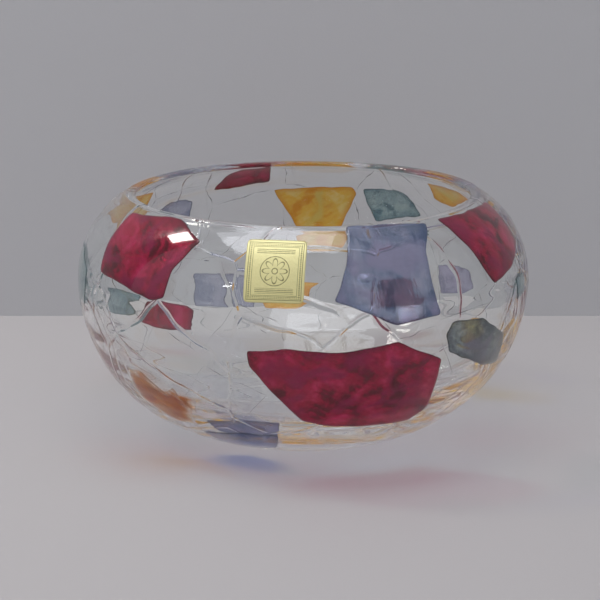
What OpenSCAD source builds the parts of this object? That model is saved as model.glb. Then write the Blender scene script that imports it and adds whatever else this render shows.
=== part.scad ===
// Art glass bowl: a clear, in-curved bowl with a flat-topped, fire-polished lip,
// thin stained colour panels fused to its outside, and a small foil sticker.
// The bowl stands on z = 0, its axis is Z, and its front faces -Y.

/* [Bowl] */
// widest diameter, at the belly
body_d = 200; // [160:1:224]
// height from the table to the top of the lip
body_h = 104; // [88:1:130]
// height of the widest ring above the table
belly_h = 66; // [52:1:76]
// diameter of the middle of the flat top of the lip
mouth_d = 153; // [120:1:180]
// width of the lip across its flat top and both softened edges
lip_w = 4.8; // [3:0.2:8]
// radius that softens both edges of the lip
lip_round = 1.2; // [0.6:0.1:1.5]
// diameter of the flat foot that touches the table
base_d = 100; // [72:1:130]
// radius that rolls the flat foot into the side
foot_round = 6; // [3:0.5:10]
// thickness of the wall at the belly
wall_t = 3.5; // [2.5:0.5:6]
// thickness of the glass under the flat inner floor
floor_t = 9; // [6:0.5:14]
// diameter of the flat inner floor
floor_d = 84; // [60:1:100]
// radius that rolls the inner floor into the wall
floor_round = 12; // [8:1:20]

/* [Stain] */
// thickness of the fused colour panels
stain_t = 0.4; // [0.2:0.1:1]

/* [Sticker] */
// width of the foil sticker
label_w = 24; // [15:1:32]
// height of the foil sticker
label_h = 25; // [15:1:32]
// thickness of the foil sticker
label_t = 0.2; // [0.1:0.1:0.5]
// corner radius of the foil sticker
label_round = 2.5; // [1:0.5:7]

/* [Hidden] */
$fn = 96;
glass = [0.86, 0.90, 0.90, 0.35];
ruby = [0.59, 0.16, 0.31];
slate = [0.43, 0.49, 0.61];
teal = [0.49, 0.59, 0.59];
amber = [0.80, 0.63, 0.24];
lavender = [0.53, 0.53, 0.61];
gold = [0.82, 0.76, 0.58];
body_r = body_d / 2;
inner_r = body_r - wall_t;
// size of the bowl that the panel outlines are drawn for
drawn_d = 200;
drawn_h = 104;
fit = min(body_d / drawn_d, body_h / drawn_h);
steepness = (body_h / drawn_h) / (body_d / drawn_d);
reach = body_r + 20;
// radius of the arc that leaves a ring upright and takes in a small end circle of radius e,
// whose centre is g inside the ring and h above or below it
function side_arc(g, h, e) = ((g + e) * (g + e) + h * h - e * e) / (2 * g);
// radius of the arc that leaves a ring upright and rolls outward into such an end circle
function inner_arc(g, h, e) = (g * g + h * h - e * e) / (2 * (g + e));
lip_c = [(mouth_d + lip_w) / 2 - lip_round, body_h - lip_round];
mouth_c = [(mouth_d - lip_w) / 2 + lip_round, body_h - lip_round];
dome_arc = side_arc(body_r - (mouth_d + lip_w) / 2, lip_c.y - belly_h, lip_round);
hollow_dome = inner_arc(inner_r - mouth_c.x, mouth_c.y - belly_h, lip_round);
side_arc_r = side_arc((body_d - base_d) / 2 - foot_round, belly_h - foot_round, foot_round);
bowl_arc = side_arc(inner_r - floor_d / 2 - floor_round, belly_h - floor_t - floor_round, floor_round);
dome_c = [body_r - dome_arc, belly_h];
hollow_dome_c = [inner_r - hollow_dome, belly_h];
side_c = [body_r - side_arc_r, belly_h];
hollow_c = [inner_r - bowl_arc, belly_h];
foot_c = [base_d / 2, foot_round];
well_c = [floor_d / 2, floor_t + floor_round];

function bearing(from, to) = atan2(to.y - from.y, to.x - from.x);

// part of a disc between two bearings
module sector(centre, radius, start, end) {
    span = 3 * radius;
    middle = (start + end) / 2;
    translate(centre) intersection() {
        circle(radius);
        polygon([[0, 0], span * [cos(start), sin(start)], span * [cos(middle), sin(middle)],
            span * [cos(end), sin(end)]]);
    }
}

// band of even thickness outside an arc
module arc_band(centre, radius, thickness, start, end) {
    difference() {
        sector(centre, radius + thickness, start, end);
        translate(centre) circle(radius);
    }
}

// everything below the belly that lies inside a side arc, a corner circle and a flat bottom
module lower_region(side, side_radius, corner, corner_radius, bottom_z) {
    turn = bearing(side, corner);
    middle = side + side_radius / 2 * [cos(turn / 2), sin(turn / 2)];
    back = min(side.x, 0) - 1;
    sector(side, side_radius, turn, 0);
    translate(corner) circle(corner_radius);
    polygon([[back, bottom_z], [corner.x, bottom_z], corner, middle, [middle.x, belly_h],
        [back, belly_h]]);
}

// keeps the side of a profile that may be turned about the axis
module right_half() {
    intersection() {
        children();
        translate([0, -body_h]) square([body_d, 3 * body_h]);
    }
}

// everything above the belly: the wall, and a lip with a flat top between two softened edges
module upper_wall() {
    turn = bearing(dome_c, lip_c);
    tuck = dome_c + (dome_arc - lip_round) * [cos(turn / 2), sin(turn / 2)];
    difference() {
        union() {
            sector(dome_c, dome_arc, 0, turn);
            polygon([mouth_c + [0, lip_round], lip_c + [0, lip_round], lip_c, tuck, hollow_dome_c,
                mouth_c]);
        }
        translate(hollow_dome_c) circle(hollow_dome);
    }
    translate(lip_c) circle(lip_round);
    translate(mouth_c) circle(lip_round);
}

// everything below the belly: the side, the foot and the thick floor
module lower_wall() {
    difference() {
        lower_region(side_c, side_arc_r, foot_c, foot_round, 0);
        lower_region(hollow_c, bowl_arc, well_c, floor_round, floor_t);
    }
}

// a thin coat over the whole outside, from just above the foot to the lip
module coat(thickness) {
    rotate_extrude() right_half() {
        arc_band(side_c, side_arc_r, thickness, bearing(side_c, foot_c), 0);
        arc_band(dome_c, dome_arc, thickness, 0, bearing(dome_c, lip_c));
    }
}

// looks outward from the middle of the belly: turn is measured from the front towards +X,
// lift is measured up from level, and the children are drawn as seen from outside
module aim(turn, lift) {
    translate([0, 0, belly_h]) rotate([0, 0, turn])
        rotate([90 - atan(tan(lift) * steepness), 0, 0]) linear_extrude(reach) children();
}

// a colour panel whose outline is drawn in millimetres, to the right and upward of its middle
module panel(turn, lift, outline) {
    intersection() {
        coat(stain_t);
        aim(turn, lift) polygon([for (p = outline) p * fit]);
    }
}

module bowl_body() {
    color(glass) union() {
        rotate_extrude() right_half() lower_wall();
        rotate_extrude() right_half() upper_wall();
    }
}

module ruby_panel_left_shoulder() {
    color(ruby) panel(-45, 15, [[-24, 14], [8, 16], [25, 9], [19, -4], [18, -16], [11, -18], [-26, -12],
        [-27, 0]]);
}

module blue_panel_front() {
    color(slate) panel(20, 15, [[-10, 17], [6, 17], [26, 16], [21, 4], [21, -10], [24, -22], [4, -25],
        [-22, -13], [-15, 0]]);
}

module ruby_panel_right_shoulder() {
    color(ruby) panel(60, 15, [[-22, 16], [0, 15], [24, 15], [25, -4], [8, -12], [-11, -16], [-16, -8],
        [-20, 6]]);
}

module ruby_panel_low_front() {
    color(ruby) panel(15, -15, [[-47, 15], [-46, 8], [-29, -11], [-23, -18], [-10, -21], [24, -24],
        [31, -18], [34, 8], [13, 20], [-16, 17], [-32, 18]]);
}

module teal_panel_left_side() {
    color(teal) panel(-76, 5, [[-20, 8], [-4, 8], [12, 2], [13, -4], [10, -14], [-18, -16], [-24, -4]]);
}

module teal_panel_right_low() {
    color(teal) panel(50, -10, [[-25, 11], [-22, 16], [-4, 15], [17, 3], [19, -12], [5, -9], [-22, 3]]);
}

module teal_chip_right_side() {
    color(teal) panel(70, 2, [[-8, 5], [4, 5], [5, -4], [-7, -5]]);
}

module amber_panel_low_left() {
    color(amber) panel(-45, -25, [[-9, 17], [1, 17], [10, 8], [16, 12], [20, 0], [14, -10], [3, -12],
        [-9, -2], [-12, 6]]);
}

module blue_panel_foot() {
    color(slate) panel(-20, -40, [[-18, 6], [0, 12], [17, 11], [12, -4], [-4, -9], [-15, -4]]);
}

module ruby_panel_back_shoulder() {
    color(ruby) panel(-160, 20, [[-15, -5], [-12, 8], [3, 7], [9, 2], [14, -9], [5, -9]]);
}

module amber_panel_back() {
    color(amber) panel(175, 5, [[-19, 12], [-17, 16], [23, 14], [18, 4], [13, -6], [5, -18], [-6, -18],
        [-15, 2]]);
}

module teal_panel_back() {
    color(teal) panel(155, 10, [[-20, -6], [-14, 5], [-9, 8], [10, 7], [10, 0], [6, -12]]);
}

module amber_panel_back_right() {
    color(amber) panel(130, 15, [[-17, 3], [-13, 8], [8, 9], [11, -3], [0, -6]]);
}

module amber_panel_left_shoulder() {
    color(amber) panel(-120, 15, [[-12, -6], [-10, 5], [12, 6], [18, -2], [8, -14], [-5, -17]]);
}

module blue_panel_left_back() {
    color(slate) panel(-140, 10, [[-9, -8], [-9, 1], [-4, 4], [6, 3], [12, -1], [9, -6]]);
}

module blue_panel_back_low_outer() {
    color(slate) panel(-155, -15, [[2, 9], [16, 10], [19, -11], [2, -13]]);
}

module blue_panel_back_low_inner() {
    color(slate) panel(-155, -15, [[-16, 8], [-1, 9], [-1, -13], [-13, -14]]);
}

module amber_panel_back_low() {
    color(amber) panel(-175, -20, [[14, -1], [12, -8], [-4, -9], [-15, 5], [-7, 7]]);
}

module ruby_panel_back_low() {
    color(ruby) panel(150, -20, [[12, 6], [9, 9], [-4, 11], [-17, 5], [-18, -3], [-14, -8], [8, -8]]);
}

module lavender_panel_right_back() {
    color(lavender) panel(130, -10, [[12, 9], [5, 9], [-12, 4], [-15, -1], [-9, -7], [7, -6]]);
}

module teal_panel_left_low() {
    color(teal) panel(-115, -15, [[5, 12], [-15, 2], [-8, -4], [12, -1], [19, 5], [14, 13]]);
}

module ruby_panel_left_low() {
    color(ruby) panel(-130, -25, [[18, 6], [11, 12], [1, 13], [-15, 6], [-16, 0], [-11, -6], [11, -4]]);
}

module amber_panel_right_low() {
    color(amber) panel(110, -25, [[-10, 6], [-3, 10], [8, 8], [10, -4], [0, -9], [-9, -5]]);
}

// a round-cornered foil sticker on the bare glass of the front shoulder
module foil_sticker() {
    across = label_w / 2 - label_round;
    up = label_h / 2 - label_round;
    color(gold) intersection() {
        coat(label_t);
        aim(-7, 14) {
            square([label_w, 2 * up], center = true);
            square([2 * across, label_h], center = true);
            for (x = [-across, across], y = [-up, up])
                translate([x, y]) circle(label_round);
        }
    }
}

bowl_body();
ruby_panel_left_shoulder();
blue_panel_front();
ruby_panel_right_shoulder();
ruby_panel_low_front();
teal_panel_left_side();
teal_panel_right_low();
teal_chip_right_side();
amber_panel_low_left();
blue_panel_foot();
ruby_panel_back_shoulder();
amber_panel_back();
teal_panel_back();
amber_panel_back_right();
amber_panel_left_shoulder();
blue_panel_left_back();
blue_panel_back_low_outer();
blue_panel_back_low_inner();
amber_panel_back_low();
ruby_panel_back_low();
lavender_panel_right_back();
teal_panel_left_low();
ruby_panel_left_low();
amber_panel_right_low();
foil_sticker();
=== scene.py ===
import bpy
import numpy as np
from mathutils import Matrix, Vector


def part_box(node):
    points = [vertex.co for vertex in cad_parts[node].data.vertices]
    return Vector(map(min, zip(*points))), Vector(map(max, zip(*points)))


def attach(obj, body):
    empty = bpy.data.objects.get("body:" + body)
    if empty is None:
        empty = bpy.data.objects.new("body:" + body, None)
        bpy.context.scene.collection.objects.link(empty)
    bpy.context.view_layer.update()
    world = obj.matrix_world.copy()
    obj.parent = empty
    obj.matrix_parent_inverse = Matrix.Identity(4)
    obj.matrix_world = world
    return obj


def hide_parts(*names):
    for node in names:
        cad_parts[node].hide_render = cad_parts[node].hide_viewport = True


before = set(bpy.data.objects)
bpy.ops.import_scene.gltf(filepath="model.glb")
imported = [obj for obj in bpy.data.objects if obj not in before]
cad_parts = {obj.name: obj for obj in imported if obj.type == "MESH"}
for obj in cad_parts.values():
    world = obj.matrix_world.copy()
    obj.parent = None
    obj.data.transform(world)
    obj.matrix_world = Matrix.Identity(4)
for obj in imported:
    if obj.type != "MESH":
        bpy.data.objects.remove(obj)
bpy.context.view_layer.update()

# ---------------------------------------------------------------------------
# CAMERA
# A long lens about 0.8 m away looks down a little on the bowl, so the mouth
# shows as a flat oval and the far wall is seen through it.
camera_away = 0.80
camera_pitch = np.radians(14.3)
camera_aim = np.array([-0.0014, 0.0, 0.054])
camera_data = bpy.data.cameras.new("camera")
camera_data.sensor_width = 36.0
camera_data.lens = 106.7
camera_data.clip_start = 0.01
camera = bpy.data.objects.new("camera", camera_data)
camera.location = camera_aim + camera_away * np.array([0.0, -np.cos(camera_pitch), np.sin(camera_pitch)])
camera.rotation_euler = (np.pi / 2 - camera_pitch, 0.0, 0.0)
bpy.context.collection.objects.link(camera)
bpy.context.scene.camera = camera

# ---------------------------------------------------------------------------
# CLEAR GLASS BOWL
# One gather of clear glass, blown, opened and fire-polished to a flat lip. Its
# wall is 3.5 mm thick, thicker low down, and it stands on a flat foot.
bowl_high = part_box("bowl_body")[1]
body_r = bowl_high[0]
body_h = bowl_high[2]
belly_h = 0.066
mouth_r = 0.0765
foot_r = 0.050
foot_round = 0.006
wall = 0.0035
lip_w = 0.0048
lip_round = 0.0012
floor_t = 0.009
floor_r = 0.042
floor_round = 0.012
base_hollow = 0.0007
rings_round = 296


def tangent_radius(inset, rise, corner):
    """Radius of an arc that starts upright and ends inside-tangent to a corner circle:
    ((inset + corner)^2 + rise^2 - corner^2) / (2 inset)."""
    return ((inset + corner) ** 2 + rise**2 - corner**2) / (2 * inset)


def bearing(start, end):
    """Angle of the way from one point of the section to another, from level."""
    return np.arctan2(end[1] - start[1], end[0] - start[0])


def arc(centre, radius, start, end, count):
    """Centre plus radius times the unit vector at each angle, and that vector, as (r, z) pairs."""
    turn = np.linspace(start, end, count)
    way = np.stack([np.cos(turn), np.sin(turn)], axis=-1)
    return np.asarray(centre) + radius * way, way


dome_radius = tangent_radius(body_r - mouth_r - lip_w / 2, body_h - lip_round - belly_h, lip_round)
side_radius = tangent_radius(body_r - foot_r - foot_round, belly_h - foot_round, foot_round)
hollow_radius = tangent_radius(body_r - wall - floor_r - floor_round, belly_h - floor_t - floor_round,
                               floor_round)
dome_centre = (body_r - dome_radius, belly_h)
side_centre = (body_r - side_radius, belly_h)
hollow_centre = (body_r - wall - hollow_radius, belly_h)
lip_centre = (mouth_r + lip_w / 2 - lip_round, body_h - lip_round)
foot_centre = (foot_r, foot_round)
well_centre = (floor_r, floor_t + floor_round)
mouth_centre = (mouth_r - lip_w / 2 + lip_round, body_h - lip_round)
mouth_inset = body_r - wall - mouth_centre[0]
mouth_rise = mouth_centre[1] - belly_h
inner_radius = (mouth_inset**2 + mouth_rise**2 - lip_round**2) / (2 * (mouth_inset + lip_round))
inner_centre = (body_r - wall - inner_radius, belly_h)
mouth_turn = bearing(inner_centre, mouth_centre)
dome_turn = bearing(dome_centre, lip_centre)
side_turn = bearing(side_centre, foot_centre)
well_turn = bearing(hollow_centre, well_centre)

# Where each patch of colour sits: its name, the turn from the front towards +X and the lift of the
# direction it faces, in degrees, and its corners across and up from there, in millimetres.
patches = [
    ("ruby_panel_left_shoulder", -45, 15, [(-24, 14), (8, 16), (25, 9), (19, -4), (18, -16), (11, -18),
                                           (-26, -12), (-27, 0)]),
    ("blue_panel_front", 20, 15, [(-10, 17), (6, 17), (26, 16), (21, 4), (21, -10), (24, -22), (4, -25),
                                  (-22, -13), (-15, 0)]),
    ("ruby_panel_right_shoulder", 60, 15, [(-22, 16), (0, 15), (24, 15), (25, -4), (8, -12), (-11, -16),
                                           (-16, -8), (-20, 6)]),
    ("ruby_panel_low_front", 15, -15, [(-47, 15), (-46, 8), (-29, -11), (-23, -18), (-10, -21),
                                       (24, -24), (31, -18), (34, 8), (13, 20), (-16, 17), (-32, 18)]),
    ("teal_panel_left_side", -76, 5, [(-20, 8), (-4, 8), (12, 2), (13, -4), (10, -14), (-18, -16),
                                      (-24, -4)]),
    ("teal_panel_right_low", 50, -10, [(-25, 11), (-22, 16), (-4, 15), (17, 3), (19, -12), (5, -9),
                                       (-22, 3)]),
    ("teal_chip_right_side", 70, 2, [(-8, 5), (4, 5), (5, -4), (-7, -5)]),
    ("amber_panel_low_left", -45, -25, [(-9, 17), (1, 17), (10, 8), (16, 12), (20, 0), (14, -10),
                                        (3, -12), (-9, -2), (-12, 6)]),
    ("blue_panel_foot", -20, -40, [(-18, 6), (0, 12), (17, 11), (12, -4), (-4, -9), (-15, -4)]),
    ("ruby_panel_back_shoulder", -160, 20, [(-15, -5), (-12, 8), (3, 7), (9, 2), (14, -9), (5, -9)]),
    ("amber_panel_back", 175, 5, [(-19, 12), (-17, 16), (23, 14), (18, 4), (13, -6), (5, -18),
                                  (-6, -18), (-15, 2)]),
    ("teal_panel_back", 155, 10, [(-20, -6), (-14, 5), (-9, 8), (10, 7), (10, 0), (6, -12)]),
    ("amber_panel_back_right", 130, 15, [(-17, 3), (-13, 8), (8, 9), (11, -3), (0, -6)]),
    ("amber_panel_left_shoulder", -120, 15, [(-12, -6), (-10, 5), (12, 6), (18, -2), (8, -14),
                                             (-5, -17)]),
    ("blue_panel_left_back", -140, 10, [(-9, -8), (-9, 1), (-4, 4), (6, 3), (12, -1), (9, -6)]),
    ("blue_panel_back_low_outer", -155, -15, [(2, 9), (16, 10), (19, -11), (2, -13)]),
    ("blue_panel_back_low_inner", -155, -15, [(-16, 8), (-1, 9), (-1, -13), (-13, -14)]),
    ("amber_panel_back_low", -175, -20, [(14, -1), (12, -8), (-4, -9), (-15, 5), (-7, 7)]),
    ("ruby_panel_back_low", 150, -20, [(12, 6), (9, 9), (-4, 11), (-17, 5), (-18, -3), (-14, -8),
                                       (8, -8)]),
    ("lavender_panel_right_back", 130, -10, [(12, 9), (5, 9), (-12, 4), (-15, -1), (-9, -7), (7, -6)]),
    ("teal_panel_left_low", -115, -15, [(5, 12), (-15, 2), (-8, -4), (12, -1), (19, 5), (14, 13)]),
    ("ruby_panel_left_low", -130, -25, [(18, 6), (11, 12), (1, 13), (-15, 6), (-16, 0), (-11, -6),
                                        (11, -4)]),
    ("amber_panel_right_low", 110, -25, [(-10, 6), (-3, 10), (8, 8), (10, -4), (0, -9), (-9, -5)]),
]
sticker_turn = -7
sticker_lift = 14
sticker_w = 24.0
sticker_h = 25.0
around_patch = 168


def soft_outline(corners, corner_blur, wander=0.0, seed=0):
    """A closed outline in millimetres, as complex numbers: the corners joined by straight runs,
    sampled evenly, rounded by a circular blur, and moved a little by a few slow waves."""
    loop = np.array(corners + corners[:1], float)
    run = np.concatenate([[0.0], np.cumsum(np.hypot(*np.diff(loop, axis=0).T))])
    at = np.linspace(0.0, run[-1], 4 * around_patch, endpoint=False)
    line = np.interp(at, run, loop[:, 0]) + 1j * np.interp(at, run, loop[:, 1])
    cycles = np.fft.fftfreq(len(at), d=run[-1] / len(at))
    line = np.fft.ifft(np.fft.fft(line) * np.exp(-2 * (np.pi * cycles * corner_blur) ** 2))
    tangent = np.gradient(line)
    random = np.random.default_rng(seed)
    waves = sum(np.sin(2 * np.pi * k * at / run[-1] + random.uniform(0, 2 * np.pi))
                for k in (3, 5, 8, 13))
    return (line + 1j * tangent / np.abs(tangent) * wander * waves / 4)[::4]


outlines = {name: soft_outline(corners, 0.9, 0.45, number)
            for number, (name, turn, lift, corners) in enumerate(patches)}
corner_w = sticker_w / 2
corner_h = sticker_h / 2
outlines["foil_sticker"] = soft_outline([(-corner_w, corner_h), (corner_w, corner_h),
                                         (corner_w, -corner_h), (-corner_w, -corner_h)], 1.3)


def facing(turn, lift):
    """The direction a patch faces, and its own across and up directions."""
    turn = np.radians(turn)
    lift = np.radians(lift)
    out = np.array([np.sin(turn) * np.cos(lift), -np.cos(turn) * np.cos(lift), np.sin(lift)])
    across = np.array([np.cos(turn), np.sin(turn), 0.0])
    return out, across, np.cross(out, across)


def section_gap(place):
    """How far each place lies outside the nearer section arc, and the arc's outward normal there."""
    from_axis = np.hypot(place[..., 0], place[..., 1])
    upper = place[..., 2] >= belly_h
    centre = np.where(upper, dome_centre[0], side_centre[0])
    size = np.where(upper, dome_radius, side_radius)
    step_r = from_axis - centre
    step_z = place[..., 2] - belly_h
    reach = np.hypot(step_r, step_z)
    spoke = place[..., :2] / from_axis[..., None]
    normal = np.concatenate([spoke * (step_r / reach)[..., None], (step_z / reach)[..., None]], -1)
    return reach - size, normal


def skin_hit(flat, turn, lift):
    """Where rays along a patch's own direction meet the outside of the bowl: each starts well
    outside and steps inward by its gap to the section until that is nil."""
    out, across, up = facing(turn, lift)
    start = (np.array([0.0, 0.0, belly_h])
             + 1e-3 * (flat.real[..., None] * across + flat.imag[..., None] * up))
    reach = np.full(flat.shape, 1.6 * body_r)
    for _ in range(60):
        place = start + reach[..., None] * out
        gap, normal = section_gap(place)
        reach = reach - 0.9 * gap
    return place, normal


def within(flat, outline):
    """True where a point lies inside an outline, by counting how many of its sides lie to the right."""
    ahead = np.roll(outline, -1)
    level = flat.imag[..., None]
    crossed = (outline.imag > level) != (ahead.imag > level)
    share = (level - outline.imag) / np.where(crossed, ahead.imag - outline.imag, 1.0)
    right = flat.real[..., None] < outline.real + share * (ahead.real - outline.real)
    return np.count_nonzero(crossed & right, axis=-1) % 2 == 1


def bare_gap(place):
    """Millimetres from each place on the skin to the nearest patch or sticker, nil inside one."""
    gap = np.full(place.shape[:-1], 60.0)
    spots = [(name, turn, lift) for name, turn, lift, _ in patches]
    for name, turn, lift in [*spots, ("foil_sticker", sticker_turn, sticker_lift)]:
        out, across, up = facing(turn, lift)
        away = 1e3 * (place - np.array([0.0, 0.0, belly_h]))
        flat = away @ across + 1j * (away @ up)
        near = ((away @ out) > 0) & (np.abs(flat) < 70.0)
        spot = flat[near]
        outline = outlines[name]
        to_edge = np.abs(spot[:, None] - outline[::2]).min(-1)
        gap[near] = np.minimum(gap[near], np.where(within(spot, outline), 0.0, to_edge))
    return gap


def cell_sites():
    """The middles of the cells of the glass mosaic: one in each patch, and clear cells between them
    on a golden-angle spiral over the skin, kept where they stand well away from the others."""
    sites = [skin_hit(np.array([complex(*np.mean(corners, axis=0))]), turn, lift)[0][0]
             for _, turn, lift, corners in patches]
    sites.append(skin_hit(np.array([0j]), sticker_turn, sticker_lift)[0][0])
    step = np.arange(90)
    golden = np.pi * (3 - np.sqrt(5.0))
    lift = np.degrees(np.arcsin(-0.55 + 1.05 * (step + 0.5) / len(step)))
    for turn, rise in zip(np.degrees(step * golden + 0.4), lift):
        site = skin_hit(np.array([0j]), turn, rise)[0][0]
        if np.linalg.norm(np.array(sites) - site, axis=1).min() > 0.021:
            sites.append(site)
    return np.array(sites)


sites = cell_sites()


def cell_pillow(place, gap):
    """How far each cell's middle stands proud of the seams round it: it rises over the first few
    millimetres from the seam, and is left out under the patches."""
    far = np.sort(np.stack([np.linalg.norm(place - site, axis=-1) for site in sites]), axis=0)[:2]
    from_seam = 1e3 * (far[1] - far[0]) / 2
    bare = np.clip(gap / 5.0, 0.0, 1.0)
    return 0.09e-3 * bare * (1 - np.exp(-from_seam / 2.5))


def hand_wave(around, height):
    """How far the blown skin stands out from a true round: two, three and five slow lobes round the
    bowl, and shallow level rings left by the turning, which fade out above the belly."""
    lobes = (0.35e-3 * np.sin(2 * around + 0.7) + 0.25e-3 * np.sin(3 * around - 1.1 + 30 * height)
             + 0.12e-3 * np.sin(5 * around + 2.0 - 45 * height))
    low = np.clip((0.055 - height) / 0.03, 0.0, 1.0)
    rings = 0.045e-3 * low * np.sin(2 * np.pi * height / 0.0062 + 1.3 * np.sin(2 * around))
    foot = np.clip(height / 0.012, 0.0, 1.0)
    return foot * (lobes + rings)


def inner_wave(around, height):
    """The same kind of waviness on the inside, out of step with the outside."""
    lobes = 0.3e-3 * np.sin(2 * around + 2.2) + 0.2e-3 * np.sin(4 * around + 0.4 - 40 * height)
    rings = 0.07e-3 * np.sin(2 * np.pi * height / 0.0100 + 1.7 * np.sin(around - 0.6))
    return lobes + rings


def lay_grid(name, points, closed_ends=True, **values):
    """Makes a mesh from a grid of points, rows by columns, closed round each row. The first and last
    rows are each one point when closed_ends is set. Keyword arrays become point attributes."""
    rows, columns = points.shape[:2]
    ring = np.arange(columns)
    after = (ring + 1) % columns
    if closed_ends:
        flat = np.concatenate([points[:1, 0], points[1:-1].reshape(-1, 3), points[-1:, 0]])
        start = 1 + columns * np.arange(rows - 2)
        last = len(flat) - 1
        caps = [np.stack([0 * ring, start[0] + after, start[0] + ring], -1),
                np.stack([start[-1] + ring, start[-1] + after, 0 * ring + last], -1)]
    else:
        flat = points.reshape(-1, 3)
        start = columns * np.arange(rows)
        caps = []
    near = start[:-1, None]
    far = start[1:, None]
    quads = np.stack([near + ring, near + after, far + after, far + ring], -1).reshape(-1, 4)
    mesh = bpy.data.meshes.new(name)
    mesh.from_pydata(flat, [], [*quads.tolist(), *(tri for cap in caps for tri in cap.tolist())])
    mesh.polygons.foreach_set("use_smooth", np.ones(len(mesh.polygons), bool))
    for key, grid in values.items():
        line = (np.concatenate([grid[:1, 0], grid[1:-1].ravel(), grid[-1:, 0]]) if closed_ends
                else grid.ravel())
        mesh.attributes.new(key, "FLOAT", "POINT").data.foreach_set("value", line.astype(np.float32))
    mesh.validate()
    thing = bpy.data.objects.new(name, mesh)
    bpy.context.collection.objects.link(thing)
    return thing


def bowl_section():
    """The section from the middle of the foot, up the outside, over the lip and down the inside to
    the middle of the floor, as points, outward normals and 1 outside or 0 inside."""
    under = np.linspace(0.0, foot_r, 22)[:-1]
    foot_flat = np.stack([under, base_hollow * (1 - (under / foot_r) ** 2)], -1)
    floor = np.linspace(floor_r, 0.0, 20)[1:]
    runs = [
        (foot_flat, np.tile([0.0, -1.0], (len(under), 1)), 1),
        (*arc(foot_centre, foot_round, -np.pi / 2, side_turn, 6), 1),
        (*arc(side_centre, side_radius, side_turn, 0.0, 74), 1),
        (*arc(dome_centre, dome_radius, 0.0, dome_turn, 50), 1),
        (*arc(lip_centre, lip_round, dome_turn, np.pi / 2, 8), 1),
        (*arc(mouth_centre, lip_round, np.pi / 2, mouth_turn + np.pi, 12), 1),
        (*arc(inner_centre, inner_radius, mouth_turn, 0.0, 44), -1),
        (*arc(hollow_centre, hollow_radius, 0.0, well_turn, 60), -1),
        (*arc(well_centre, floor_round, well_turn, -np.pi / 2, 4), -1),
        (np.stack([floor, 0 * floor + floor_t], -1), np.tile([0.0, -1.0], (len(floor), 1)), -1),
    ]
    places = np.concatenate([run[0] if i == 0 else run[0][int(i not in (0, 1, 5, 9)):]
                             for i, run in enumerate(runs)])
    ways = np.concatenate([run[2] * (run[1] if i == 0 else run[1][int(i not in (0, 1, 5, 9)):])
                           for i, run in enumerate(runs)])
    sides = np.concatenate([np.full(len(run[0]) - int(i not in (0, 1, 5, 9)), float(run[2] > 0))
                            for i, run in enumerate(runs)])
    return places, ways, sides


def turn_bowl():
    """Carries the section round the axis: (r cos a, r sin a, z), each point moved along its own
    normal by the wave of its side."""
    places, ways, sides = bowl_section()
    around = np.linspace(0.0, 2 * np.pi, rings_round, endpoint=False)[None, :]
    outside = sides[:, None]
    height = places[:, 1:2]
    fade = np.clip(places[:, :1] / 0.03, 0.0, 1.0)
    plain = np.stack([places[:, :1] * np.cos(around), places[:, :1] * np.sin(around),
                      height + 0 * around], -1)
    skin = (sides > 0.5) & (places[:, 1] > 0.010) & (places[:, 1] < body_h - wall / 2)
    pillow = np.zeros(plain.shape[:2])
    pillow[skin] = cell_pillow(plain[skin], bare_gap(plain[skin]))
    lift = fade * np.where(outside > 0.5, hand_wave(around, height) + pillow,
                           -inner_wave(around, height))
    radius = places[:, :1] + ways[:, :1] * lift
    level = height + ways[:, 1:2] * lift
    points = np.stack([radius * np.cos(around), radius * np.sin(around), level + 0 * around], -1)
    return lay_grid("bowl_glass", points, outside=outside + 0 * around)


bowl = turn_bowl()
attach(bowl, "root")
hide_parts("bowl_body")


def add_node(tree, kind, inputs=None, **settings):
    """Adds a shader node, sets its properties, then fills or links its inputs."""
    node = tree.nodes.new(kind)
    for key, value in settings.items():
        setattr(node, key, value)
    for key, value in (inputs or {}).items():
        if isinstance(value, bpy.types.NodeSocket):
            tree.links.new(value, node.inputs[key])
        else:
            node.inputs[key].default_value = value
    return node


def new_group(name, takes, gives):
    """An empty shader node group. takes and gives list (name, socket type, default)."""
    tree = bpy.data.node_groups.new(name, "ShaderNodeTree")
    for label, kind, default in takes:
        socket = tree.interface.new_socket(label, in_out="INPUT", socket_type=kind)
        socket.default_value = default
    for label, kind in gives:
        tree.interface.new_socket(label, in_out="OUTPUT", socket_type=kind)
    return tree, tree.nodes.new("NodeGroupInput").outputs, tree.nodes.new("NodeGroupOutput")


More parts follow.
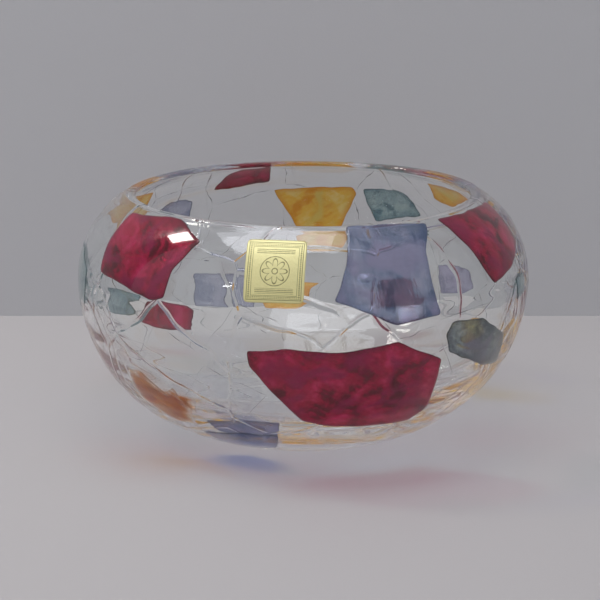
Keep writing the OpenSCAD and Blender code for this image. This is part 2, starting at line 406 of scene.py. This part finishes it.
def shard_lines():
    """Node group: an irregular net of thin raised seams in the clear skin, where one fold of glass
    lapped over another, with slow swells between them. Gives a bump height."""
    tree, takes, out = new_group(
        "Shard Lines",
        [("Cells", "NodeSocketFloat", 26.0), ("Line", "NodeSocketFloat", 0.03)],
        [("Height", "NodeSocketFloat"), ("Seam", "NodeSocketFloat")])
    place = add_node(tree, "ShaderNodeTexCoord").outputs["Object"]
    bend = add_node(tree, "ShaderNodeTexNoise", {"Vector": place, "Scale": 28.0, "Detail": 2.0})
    drift = add_node(tree, "ShaderNodeVectorMath", {0: bend.outputs["Color"], 1: (0.014, 0.014, 0.014)},
                     operation="MULTIPLY")
    moved = add_node(tree, "ShaderNodeVectorMath", {0: place, 1: drift.outputs[0]}, operation="ADD")
    cells = add_node(tree, "ShaderNodeTexVoronoi", {"Vector": moved.outputs[0], "Scale": takes["Cells"]},
                     feature="DISTANCE_TO_EDGE")
    seam = add_node(tree, "ShaderNodeMapRange",
                    {"Value": cells.outputs["Distance"], "From Min": 0.0, "From Max": takes["Line"],
                     "To Min": 1.0, "To Max": 0.0}, interpolation_type="SMOOTHSTEP")
    swell = add_node(tree, "ShaderNodeTexNoise", {"Vector": place, "Scale": 20.0, "Detail": 1.0})
    total = add_node(tree, "ShaderNodeMath", {0: swell.outputs["Fac"], 1: 0.6, 2: seam.outputs[0]},
                     operation="MULTIPLY_ADD")
    tree.links.new(total.outputs[0], out.inputs["Height"])
    tree.links.new(seam.outputs[0], out.inputs["Seam"])
    return tree


shard_lines_group = shard_lines()


def let_light_through(tree, shader, tint):
    """Joins a glass shader to the output so that light between a lamp and the floor, or between two
    matt surfaces, passes through it tinted, which gives a soft coloured shadow and not a black one."""
    path = add_node(tree, "ShaderNodeLightPath")
    clear = add_node(tree, "ShaderNodeBsdfTransparent", {"Color": tint})
    lamp = add_node(tree, "ShaderNodeMixShader",
                    {0: path.outputs["Is Shadow Ray"], 1: shader.outputs[0], 2: clear.outputs[0]})
    matt = add_node(tree, "ShaderNodeMixShader",
                    {0: path.outputs["Is Diffuse Ray"], 1: lamp.outputs[0], 2: clear.outputs[0]})
    add_node(tree, "ShaderNodeOutputMaterial", {"Surface": matt.outputs[0]})


def new_material(name):
    """An empty material of that name, and its node tree."""
    material = bpy.data.materials.new(name)
    material.use_nodes = True
    material.node_tree.nodes.clear()
    return material, material.node_tree


def clear_glass():
    """Colourless soda glass with faint seams on the outer skin."""
    material, tree = new_material("clear glass")
    lines = add_node(tree, "ShaderNodeGroup", node_tree=shard_lines_group)
    outside = add_node(tree, "ShaderNodeAttribute", attribute_name="outside")
    height = add_node(tree, "ShaderNodeMath", {0: lines.outputs["Height"], 1: outside.outputs["Fac"]},
                      operation="MULTIPLY")
    bump = add_node(tree, "ShaderNodeBump", {"Strength": 0.35, "Distance": 0.0006,
                                             "Height": height.outputs[0]})
    glass = add_node(tree, "ShaderNodeBsdfPrincipled", {
        "Base Color": (0.97, 0.985, 0.98, 1.0), "Roughness": 0.01, "IOR": 1.5,
        "Transmission Weight": 1.0, "Normal": bump.outputs[0]})
    let_light_through(tree, glass, (0.93, 0.94, 0.95, 1.0))
    return material


bowl.data.materials.append(clear_glass())

# ---------------------------------------------------------------------------
# SEAMS
# Where one cell of the hot glass mosaic met the next, the skin keeps a thin
# raised thread of slightly smoky glass. The threads are part of the same gather.
seam_r = 0.26e-3
front_share = 0.5
seam_points = 40
seam_sides = 8
seam_step = 0.0008
seam_reach = 56


def seam_paths():
    """Follows the lines on the skin that are equally far from two cell middles: each starts half way
    between the pair and steps both ways along the cross product of the pair's direction and the
    skin's normal. The stretch that no other cell is nearer to, and that is off the patches, is kept."""
    first, second = np.triu_indices(len(sites), 1)
    apart = sites[second] - sites[first]
    length = np.linalg.norm(apart, axis=1)
    close = length < 0.062
    first, second, apart = first[close], second[close], (apart / length[:, None])[close]
    middle = (sites[first] + sites[second]) / 2
    level = np.sum(apart * middle, axis=1)

    def settle(place):
        for _ in range(4):
            gap, normal = section_gap(place)
            place = place - gap[:, None] * normal
            place = place - (np.sum(apart * place, axis=1) - level)[:, None] * apart
        return place

    runs = []
    for way in (-1.0, 1.0):
        place = settle(middle)
        run = [place]
        for _ in range(seam_reach):
            along = np.cross(apart, section_gap(place)[1])
            along = along / np.linalg.norm(along, axis=1)[:, None]
            place = settle(place + way * seam_step * along)
            run.append(place)
        runs.append(run)
    track = np.stack(runs[0][:0:-1] + runs[1], axis=1)
    own = np.linalg.norm(track - sites[first][:, None], axis=-1)
    nearest = np.min([np.linalg.norm(track - site, axis=-1) for site in sites], axis=0)
    gap = bare_gap(track)
    height = track[..., 2]
    kept = (own < nearest + 1e-6) & (gap > 0.8) & (height > 0.013) & (height < body_h - 0.3 * wall)
    paths = []
    for line, keep in zip(track, kept):
        edges = np.flatnonzero(np.diff(np.concatenate([[0], keep.astype(int), [0]])))
        if len(edges) == 0:
            continue
        spans = edges.reshape(-1, 2)
        start, stop = spans[np.argmax(spans[:, 1] - spans[:, 0])]
        if stop - start >= 8:
            spot = np.linspace(start, stop - 1, seam_points)
            paths.append(np.stack([np.interp(spot, np.arange(len(line)), line[:, axis])
                                   for axis in range(3)], -1))
    return np.array(paths)


def lay_seams():
    """Round threads carried along the seam paths, finer on the front. Each wanders a little
    sideways, and swells and thins to nothing at its ends, so that some of it sinks into the skin."""
    paths = seam_paths()
    random = np.random.default_rng(11)
    count = len(paths)
    share = np.linspace(0.0, 1.0, seam_points)
    shift = random.uniform(0, 2 * np.pi, (4, count, 1))
    sway = 1e-3 * (0.5 * np.sin(5 * share + shift[0]) + 0.25 * np.sin(13 * share + shift[1]))
    swell = 0.55 + 0.35 * np.sin(7 * share + shift[2]) + 0.25 * np.sin(17 * share + shift[3])
    radius = seam_r * np.clip(swell, 0.12, 1.2) * np.sqrt(np.clip(4 * share * (1 - share), 0.02, 1.0))
    radius = radius * random.uniform(0.45, 1.15, (count, 1))
    radius = radius * np.where(paths[..., 1] < 0, front_share, 1.0)
    normal = section_gap(paths)[1]
    along = np.gradient(paths, axis=1)
    along = along / np.linalg.norm(along, axis=-1, keepdims=True)
    side = np.cross(along, normal)
    spine = paths + (sway * np.sin(np.pi * share))[..., None] * side
    gap, normal = section_gap(spine)
    around = np.arctan2(spine[..., 1], spine[..., 0])
    rise = hand_wave(around, spine[..., 2]) - gap - 0.25 * radius
    spine = spine + rise[..., None] * normal
    turn = np.linspace(0.0, 2 * np.pi, seam_sides, endpoint=False)
    ring = (np.cos(turn)[:, None] * side[..., None, :] * 1.3 + np.sin(turn)[:, None] * normal[..., None, :])
    points = spine[..., None, :] + radius[..., None, None] * ring
    flat = np.concatenate([points.reshape(-1, 3), spine[:, 0], spine[:, -1]])
    first = (seam_sides * seam_points * np.arange(count)[:, None, None]
             + seam_sides * np.arange(seam_points - 1)[:, None])
    here = np.arange(seam_sides)
    after = (here + 1) % seam_sides
    quads = np.stack(np.broadcast_arrays(first + here, first + seam_sides + here,
                                         first + seam_sides + after, first + after), -1).reshape(-1, 4)
    root = seam_sides * seam_points * np.arange(count)[:, None]
    tip = root + seam_sides * (seam_points - 1)
    cap = count * seam_sides * seam_points + np.arange(count)[:, None]
    ends = [np.stack(np.broadcast_arrays(root + here, root + after, cap), -1).reshape(-1, 3),
            np.stack(np.broadcast_arrays(tip + after, tip + here, cap + count), -1).reshape(-1, 3)]
    mesh = bpy.data.meshes.new("bowl_seams")
    mesh.from_pydata(flat, [], [*quads.tolist(), *ends[0].tolist(), *ends[1].tolist()])
    mesh.polygons.foreach_set("use_smooth", np.ones(len(mesh.polygons), bool))
    mesh.validate()
    thing = bpy.data.objects.new("bowl_seams", mesh)
    bpy.context.collection.objects.link(thing)
    return thing


def smoky_glass():
    """The same glass, greyed a little where the seams trapped soot, unevenly along them."""
    material, tree = new_material("smoky seam glass")
    place = add_node(tree, "ShaderNodeTexCoord").outputs["Object"]
    patchy = add_node(tree, "ShaderNodeTexNoise", {"Vector": place, "Scale": 120.0, "Detail": 2.0})
    tone = add_node(tree, "ShaderNodeMapRange", {"Value": patchy.outputs["Fac"], "From Min": 0.35,
                                                 "From Max": 0.65, "To Min": 0.10, "To Max": 0.75})
    colour = add_node(tree, "ShaderNodeMix", {0: tone.outputs[0], 6: (0.10, 0.11, 0.12, 1.0),
                                              7: (0.90, 0.90, 0.91, 1.0)}, data_type="RGBA")
    glass = add_node(tree, "ShaderNodeBsdfPrincipled", {
        "Base Color": colour.outputs[2], "Roughness": 0.05, "IOR": 1.5, "Transmission Weight": 0.9})
    let_light_through(tree, glass, (0.9, 0.9, 0.9, 1.0))
    return material


seams = lay_seams()
seams.data.materials.append(smoky_glass())
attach(seams, "root")
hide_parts("bowl_body")

# ---------------------------------------------------------------------------
# COLOUR PANELS
# Patches of stain brushed on the outside and fired in. The wash dries darker
# at its rim. Each is about 0.3 mm thick and sunk a hair into the skin.
film_out = 0.25e-3
film_in = -0.10e-3
film_bevel = 0.8
film_rows = 22
wash_ior = 1.2


def lay_film(name, turn, lift, outline, pattern_shift):
    """A thin closed shell on the skin. Rows run from the middle of its outer face to its rim and back
    under to the middle of its inner face. The outer face falls in a quarter sine to the rim."""
    middle = outline.mean()
    rows = np.concatenate([[0.0], 1 - np.linspace(0.93, 0.0, film_rows) ** 1.5])
    flat = middle + rows[:, None] * (outline - middle)
    inset = np.abs(flat[..., None] - outline[::2]).min(-1)
    inset[-1] = 0.0
    place, normal = skin_hit(flat, turn, lift)
    wave = hand_wave(np.arctan2(place[..., 1], place[..., 0]), place[..., 2])
    bevel = np.clip(inset / film_bevel, 0.0, 1.0)
    crown = film_in + (film_out - film_in) * np.sin(bevel * np.pi / 2)
    outer = place + normal * (wave + crown)[..., None]
    inner = place + normal * (wave + film_in)[..., None]
    reach = 1e3 * (flat.real * 1e-3 + pattern_shift), 1e3 * (flat.imag * 1e-3)

    def fold(grid):
        """A grid's rows out to the rim and back in, each in the order that faces the shell outward."""
        return np.concatenate([grid, grid[-2::-1]])[:, order]

    clockwise = np.sum(outline.real * np.roll(outline.imag, -1)
                       - np.roll(outline.real, -1) * outline.imag) < 0
    order = slice(None) if clockwise else slice(None, None, -1)
    points = np.concatenate([outer, inner[-2::-1]])[:, order]
    front = np.concatenate([np.ones(flat.shape), np.zeros(flat[1:].shape)])
    return lay_grid(name, points, inset=fold(inset), across=fold(reach[0]), up=fold(reach[1]),
                    front=front)


def fired_stain():
    """Node group: a fired wash in the patch's own millimetres. Soft clouds, small mottles and brush
    strokes shade from deep to pale, with clouds of a second tint, a faint pool of colour near the rim
    and a thin dark line where the wash dried at the very edge."""
    tree, takes, out = new_group(
        "Fired Stain",
        [("Deep", "NodeSocketColor", (0.2, 0.0, 0.03, 1)), ("Body", "NodeSocketColor", (0.3, 0, 0.1, 1)),
         ("Pale", "NodeSocketColor", (0.5, 0.1, 0.2, 1)), ("Tint", "NodeSocketColor", (0.2, 0, 0.2, 1)),
         ("Mottle", "NodeSocketFloat", 0.3), ("Tilt", "NodeSocketFloat", 0.6),
         ("Pool", "NodeSocketFloat", 0.4), ("Rim Line", "NodeSocketFloat", 0.8),
         ("Feather", "NodeSocketFloat", 0.01)],
        [("Color", "NodeSocketColor"), ("Roughness", "NodeSocketFloat"), ("Height", "NodeSocketFloat")])
    across = add_node(tree, "ShaderNodeAttribute", attribute_name="across").outputs["Fac"]
    up = add_node(tree, "ShaderNodeAttribute", attribute_name="up").outputs["Fac"]
    inset = add_node(tree, "ShaderNodeAttribute", attribute_name="inset").outputs["Fac"]
    place = add_node(tree, "ShaderNodeCombineXYZ", {"X": across, "Y": up}).outputs[0]

    def noise(spot, scale, detail, rough, bend):
        return add_node(tree, "ShaderNodeTexNoise",
                        {"Vector": spot, "Scale": scale, "Detail": detail, "Roughness": rough,
                         "Distortion": bend}).outputs["Fac"]

    def ramp(value, low, high, start=0.0, stop=1.0):
        return add_node(tree, "ShaderNodeMapRange",
                        {"Value": value, "From Min": low, "From Max": high, "To Min": start,
                         "To Max": stop}, interpolation_type="SMOOTHSTEP").outputs[0]

    def blend(share, under, over):
        return add_node(tree, "ShaderNodeMix", {0: share, 6: under, 7: over},
                        data_type="RGBA").outputs[2]

    def calc(operation, a, b):
        return add_node(tree, "ShaderNodeMath", {0: a, 1: b}, operation=operation).outputs[0]

    turned = add_node(tree, "ShaderNodeVectorRotate", {"Vector": place, "Angle": takes["Tilt"]},
                      rotation_type="Z_AXIS")
    grain = add_node(tree, "ShaderNodeVectorMath", {0: turned.outputs[0], 1: (0.12, 1.0, 1.0)},
                     operation="MULTIPLY")
    clouds = noise(place, 0.085, 2.0, 0.5, 0.6)
    mottles = noise(place, 0.42, 4.0, 0.65, 0.3)
    strokes = noise(grain.outputs[0], 0.7, 3.0, 0.6, 0.2)
    patchy = calc("MULTIPLY", calc("SUBTRACT", mottles, 0.5), takes["Mottle"])
    brushed = calc("MULTIPLY", calc("SUBTRACT", strokes, 0.5), 0.35)
    tone = calc("ADD", clouds, calc("ADD", patchy, brushed))
    wash = blend(ramp(tone, 0.34, 0.50, 1.0, 0.0), takes["Body"], takes["Deep"])
    wash = blend(ramp(tone, 0.50, 0.70), wash, takes["Pale"])
    second = noise(add_node(tree, "ShaderNodeVectorMath", {0: place, 1: (31.0, 17.0, 5.0)},
                            operation="ADD").outputs[0], 0.07, 2.0, 0.5, 0.8)
    wash = blend(ramp(second, 0.48, 0.66), wash, takes["Tint"])
    pool = calc("MULTIPLY", ramp(inset, 0.5, 3.5, 1.0, 0.0), takes["Pool"])
    wash = blend(pool, wash, takes["Deep"])
    dark = blend(0.55, takes["Deep"], (0.01, 0.01, 0.015, 1.0))
    line = calc("MULTIPLY", ramp(inset, 0.30, 0.75, 1.0, 0.0), takes["Rim Line"])
    wash = blend(line, wash, dark)
    ragged = calc("ADD", inset, calc("MULTIPLY", calc("SUBTRACT", strokes, 0.5), calc(
        "MULTIPLY", takes["Feather"], 2.5)))
    clear = add_node(tree, "ShaderNodeMapRange",
                     {"Value": ragged, "From Min": 0.0, "From Max": takes["Feather"],
                      "To Min": 1.0, "To Max": 0.0}, interpolation_type="SMOOTHSTEP")
    wash = blend(clear.outputs[0], wash, (0.93, 0.93, 0.92, 1.0))
    tree.links.new(wash, out.inputs["Color"])
    tree.links.new(ramp(mottles, 0.3, 0.7, 0.03, 0.14), out.inputs["Roughness"])
    tree.links.new(calc("ADD", strokes, mottles), out.inputs["Height"])
    return tree


fired_stain_group = fired_stain()


def stain(name, colours, shade, clearness, **settings):
    """A stained film: coloured glass, with some soft body colour of its own so that it shows against
    a dark ground too. colours are deep, body, pale and tint; shade colours the light it lets by."""
    material, tree = new_material(name)
    wash = add_node(tree, "ShaderNodeGroup", node_tree=fired_stain_group)
    for label, value in zip(("Deep", "Body", "Pale", "Tint"), colours):
        wash.inputs[label].default_value = (*value, 1.0)
    for label, value in settings.items():
        wash.inputs[label.replace("_", " ").title()].default_value = value
    bump = add_node(tree, "ShaderNodeBump", {"Strength": 0.2, "Distance": 0.0002,
                                             "Height": wash.outputs["Height"]})
    front = add_node(tree, "ShaderNodeAttribute", attribute_name="front")
    glass = add_node(tree, "ShaderNodeBsdfPrincipled", {
        "Base Color": wash.outputs["Color"], "Roughness": wash.outputs["Roughness"],
        "IOR": wash_ior, "Transmission Weight": clearness, "Normal": bump.outputs[0],
        "Coat Weight": front.outputs["Fac"], "Coat Roughness": 0.04, "Coat IOR": 1.5})
    let_light_through(tree, glass, (*shade, 1.0))
    return material


stains = {
    "ruby": stain("ruby stain", [(0.13, 0.001, 0.014), (0.42, 0.004, 0.050), (0.60, 0.025, 0.13),
                                 (0.32, 0.006, 0.075)], (0.82, 0.24, 0.44), 0.66, mottle=0.5),
    "blue": stain("slate blue stain", [(0.14, 0.20, 0.35), (0.34, 0.39, 0.54), (0.48, 0.49, 0.63),
                                       (0.40, 0.38, 0.55)], (0.62, 0.70, 0.92), 0.88, tilt=1.5,
                  mottle=0.1),
    "pale slate": stain("pale slate stain", [(0.38, 0.41, 0.54), (0.56, 0.57, 0.68),
                                             (0.66, 0.66, 0.74), (0.58, 0.56, 0.68)],
                        (0.80, 0.84, 0.96), 0.88, tilt=1.5, mottle=0.1),
    "teal": stain("grey teal stain", [(0.16, 0.27, 0.31), (0.38, 0.50, 0.51), (0.52, 0.62, 0.59),
                                      (0.34, 0.46, 0.50)], (0.75, 0.90, 0.88), 0.78, mottle=0.5),
    "smoky teal": stain("smoky teal stain", [(0.10, 0.13, 0.15), (0.26, 0.31, 0.33),
                                             (0.40, 0.45, 0.44), (0.24, 0.24, 0.30)],
                        (0.70, 0.80, 0.80), 0.80, mottle=1.1),
    "amber": stain("amber stain", [(0.80, 0.36, 0.015), (0.92, 0.58, 0.07), (0.95, 0.76, 0.28),
                                   (0.80, 0.62, 0.14)], (0.99, 0.85, 0.42), 0.62, pool=0.7,
                   rim_line=0.25),
    "soft amber": stain("soft amber stain", [(0.48, 0.13, 0.01), (0.66, 0.24, 0.015),
                                             (0.80, 0.40, 0.04), (0.60, 0.25, 0.03)],
                        (0.99, 0.70, 0.32), 0.86, pool=0.0, rim_line=0.0, feather=3.5, tilt=0.6),
    "lavender": stain("lavender stain", [(0.30, 0.29, 0.42), (0.50, 0.48, 0.62), (0.60, 0.58, 0.70),
                                         (0.52, 0.48, 0.64)], (0.80, 0.76, 0.95), 0.85),
}
own_wash = {"amber_panel_low_left": "soft amber", "teal_panel_right_low": "smoky teal",
            "blue_panel_left_back": "pale slate", "blue_panel_back_low_outer": "pale slate",
            "blue_panel_back_low_inner": "pale slate"}
for number, (node_name, turn, lift, _) in enumerate(patches):
    colour = node_name.split("_")[0]
    film = lay_film(node_name.replace("panel", "film").replace("chip", "film"), turn, lift,
                    outlines[node_name], 0.11 * number)
    film.data.materials.append(stains[own_wash.get(node_name, colour)])
    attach(film, "root")
    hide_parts(node_name)

# ---------------------------------------------------------------------------
# FOIL STICKER
# A small pressed-foil sticker on the bare glass of the front shoulder, with a
# plain printed border and rosette and no lettering.
sticker_out = 0.18e-3
sticker_under = 0.02e-3


def lay_sticker():
    """A closed sheet on the skin: rows run from its middle out to its rim and back underneath."""
    outline = outlines["foil_sticker"]
    rows = np.concatenate([[0.0], np.linspace(0.06, 1.0, 24)])
    flat = rows[:, None] * outline
    place, normal = skin_hit(flat, sticker_turn, sticker_lift)
    wave = hand_wave(np.arctan2(place[..., 1], place[..., 0]), place[..., 2])
    outer = place + normal * (wave + sticker_out)[..., None]
    inner = place + normal * (wave + sticker_under)[..., None]
    return lay_grid("sticker", np.concatenate([outer, inner[::-1]]),
                    across=np.concatenate([flat.real, flat.real[::-1]]),
                    up=np.concatenate([flat.imag, flat.imag[::-1]]))


def printed_foil():
    """Pale gold foil printed in olive. In the sticker's own millimetres the print is a double border,
    a row of dots, an eight-petal rosette with a ring, and fine level lines above and below it."""
    material, tree = new_material("pale gold foil")
    across = add_node(tree, "ShaderNodeAttribute", attribute_name="across").outputs["Fac"]
    up = add_node(tree, "ShaderNodeAttribute", attribute_name="up").outputs["Fac"]

    def calc(operation, a, b=0.0, c=0.0):
        return add_node(tree, "ShaderNodeMath", {0: a, 1: b, 2: c}, operation=operation).outputs[0]

    def band(value, low, high):
        return calc("MULTIPLY", calc("GREATER_THAN", value, low), calc("LESS_THAN", value, high))

    wide = calc("ABSOLUTE", across)
    tall = calc("ABSOLUTE", up)
    inset = calc("MINIMUM", calc("SUBTRACT", sticker_w / 2, wide), calc("SUBTRACT", sticker_h / 2, tall))
    borders = calc("MAXIMUM", band(inset, 1.0, 1.3), band(inset, 2.75, 2.95))
    dots = calc("MULTIPLY", calc("SINE", calc("MULTIPLY", across, 3.6)),
                calc("SINE", calc("MULTIPLY", up, 3.6)))
    dots = calc("MULTIPLY", calc("GREATER_THAN", calc("ABSOLUTE", dots), 0.45), band(inset, 1.6, 2.5))
    radius = calc("SQRT", calc("ADD", calc("MULTIPLY", across, across), calc("MULTIPLY", up, up)))
    angle = calc("ARCTAN2", up, across)
    petal = calc("MULTIPLY_ADD", calc("ABSOLUTE", calc("COSINE", calc("MULTIPLY", angle, 4.0))), 2.6, 2.3)
    petals = calc("COMPARE", radius, petal, 0.30)
    rosette = calc("MAXIMUM", petals, calc("MAXIMUM", band(radius, 5.6, 5.95), band(radius, 0.9, 1.3)))
    rules = calc("MULTIPLY", band(tall, 6.8, 8.9),
                 calc("GREATER_THAN", calc("SINE", calc("MULTIPLY", up, 9.0)), 0.35))
    rules = calc("MULTIPLY", rules, calc("LESS_THAN", wide, 7.6))
    ink = calc("MAXIMUM", calc("MAXIMUM", borders, dots), calc("MAXIMUM", rosette, rules))
    place = add_node(tree, "ShaderNodeCombineXYZ", {"X": across, "Y": up})
    worn = add_node(tree, "ShaderNodeTexNoise", {"Vector": place.outputs[0], "Scale": 2.2, "Detail": 3.0})
    faded = add_node(tree, "ShaderNodeMapRange", {"Value": worn.outputs["Fac"], "From Min": 0.35,
                                                  "From Max": 0.6, "To Min": 0.45, "To Max": 0.9})
    ink = calc("MULTIPLY", ink, faded.outputs[0])
    sheen = add_node(tree, "ShaderNodeMix", {0: worn.outputs["Fac"], 6: (0.66, 0.60, 0.26, 1.0),
                                             7: (0.80, 0.75, 0.40, 1.0)}, data_type="RGBA")
    colour = add_node(tree, "ShaderNodeMix", {0: ink, 6: sheen.outputs[2], 7: (0.07, 0.065, 0.015, 1.0)},
                      data_type="RGBA")
    creased = add_node(tree, "ShaderNodeTexNoise", {"Vector": place.outputs[0], "Scale": 0.5,
                                                    "Detail": 4.0})
    height = calc("MULTIPLY_ADD", ink, -0.2, creased.outputs["Fac"])
    bump = add_node(tree, "ShaderNodeBump", {"Strength": 0.4, "Distance": 0.0004, "Height": height})
    rough = calc("MULTIPLY_ADD", ink, 0.15, 0.38)
    foil = add_node(tree, "ShaderNodeBsdfPrincipled", {
        "Base Color": colour.outputs[2], "Roughness": rough, "Metallic": 0.35,
        "Normal": bump.outputs[0]})
    add_node(tree, "ShaderNodeOutputMaterial", {"Surface": foil.outputs[0]})
    return material


sticker = lay_sticker()
sticker.data.materials.append(printed_foil())
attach(sticker, "root")
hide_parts("foil_sticker")

# ---------------------------------------------------------------------------
# STUDIO
# A plain pale floor and a plain grey backdrop close behind the bowl, a wide
# soft light overhead, and two small ones that give sparks and coloured shade.
floor_z = -0.0002
wall_y = 0.177
stage_r = 3.0


def lay_card(name, corners):
    """A flat rectangle from its four corners, which go anticlockwise seen from its front."""
    mesh = bpy.data.meshes.new(name)
    mesh.from_pydata(corners, [], [(0, 1, 2, 3)])
    card = bpy.data.objects.new(name, mesh)
    bpy.context.collection.objects.link(card)
    return card


def pale_paper(name, colour):
    """Matt paper with a fine grain. It is clear from behind, so that it hides nothing from there."""
    material, tree = new_material(name)
    place = add_node(tree, "ShaderNodeTexCoord").outputs["Object"]
    grain = add_node(tree, "ShaderNodeTexNoise", {"Vector": place, "Scale": 900.0, "Detail": 2.0})
    bump = add_node(tree, "ShaderNodeBump", {"Strength": 0.1, "Distance": 0.0003,
                                             "Height": grain.outputs["Fac"]})
    paper = add_node(tree, "ShaderNodeBsdfPrincipled", {
        "Base Color": (*colour, 1.0), "Roughness": 0.75, "Normal": bump.outputs[0]})
    side = add_node(tree, "ShaderNodeNewGeometry")
    clear = add_node(tree, "ShaderNodeBsdfTransparent")
    mix = add_node(tree, "ShaderNodeMixShader", {0: side.outputs["Backfacing"], 1: paper.outputs[0],
                                                 2: clear.outputs[0]})
    add_node(tree, "ShaderNodeOutputMaterial", {"Surface": mix.outputs[0]})
    return material


ground = lay_card("ground", [(-stage_r, -stage_r, floor_z), (stage_r, -stage_r, floor_z),
                             (stage_r, stage_r, floor_z), (-stage_r, stage_r, floor_z)])
ground.data.materials.append(pale_paper("warm pale paper", (0.46, 0.44, 0.44)))
backdrop = lay_card("backdrop", [(-stage_r, wall_y, floor_z), (stage_r, wall_y, floor_z),
                                 (stage_r, wall_y, stage_r), (-stage_r, wall_y, stage_r)])
backdrop.data.materials.append(pale_paper("grey paper", (0.52, 0.52, 0.535)))


def add_light(name, place, aim, width, depth, power, colour=(1.0, 1.0, 1.0)):
    """A rectangular lamp at a place, turned to face the point it is aimed at."""
    data = bpy.data.lights.new(name, "AREA")
    data.shape = "RECTANGLE"
    data.size = width
    data.size_y = depth
    data.energy = power
    data.color = colour
    lamp = bpy.data.objects.new(name, data)
    lamp.location = place
    lamp.rotation_euler = (Vector(aim) - Vector(place)).to_track_quat("-Z", "Y").to_euler()
    bpy.context.collection.objects.link(lamp)
    return lamp


add_light("overhead", (-0.14, 0.02, 1.15), (-0.14, 0.02, 0.0), 0.72, 0.80, 6.0, (0.93, 0.94, 1.0))
add_light("front left", (-0.9, -1.2, 0.9), (0.0, 0.0, 0.05), 0.16, 0.05, 0.45)
add_light("back left", (-0.55, 0.12, 0.75), (0.0, 0.0, 0.05), 0.15, 0.15, 1.6, (1.0, 0.96, 0.9))


def graded_room():
    """A plain room, lighter overhead than at the height of the bowl."""
    world = bpy.data.worlds.new("room")
    world.use_nodes = True
    tree = world.node_tree
    way = add_node(tree, "ShaderNodeTexCoord").outputs["Generated"]
    high = add_node(tree, "ShaderNodeSeparateXYZ", {0: way}).outputs["Z"]
    rise = add_node(tree, "ShaderNodeMapRange", {"Value": high, "From Min": 0.0, "From Max": 0.9})
    tone = add_node(tree, "ShaderNodeMix", {0: rise.outputs[0], 6: (0.46, 0.46, 0.475, 1.0),
                                            7: (0.80, 0.81, 0.84, 1.0)}, data_type="RGBA")
    tree.links.new(tone.outputs[2], tree.nodes["Background"].inputs["Color"])
    return world


bpy.context.scene.world = graded_room()
bpy.context.scene.view_settings.view_transform = "Standard"
cycles = bpy.context.scene.cycles
cycles.max_bounces = 48
cycles.glossy_bounces = 48
cycles.transmission_bounces = 48
cycles.transparent_max_bounces = 48
cycles.caustics_refractive = False
cycles.caustics_reflective = False
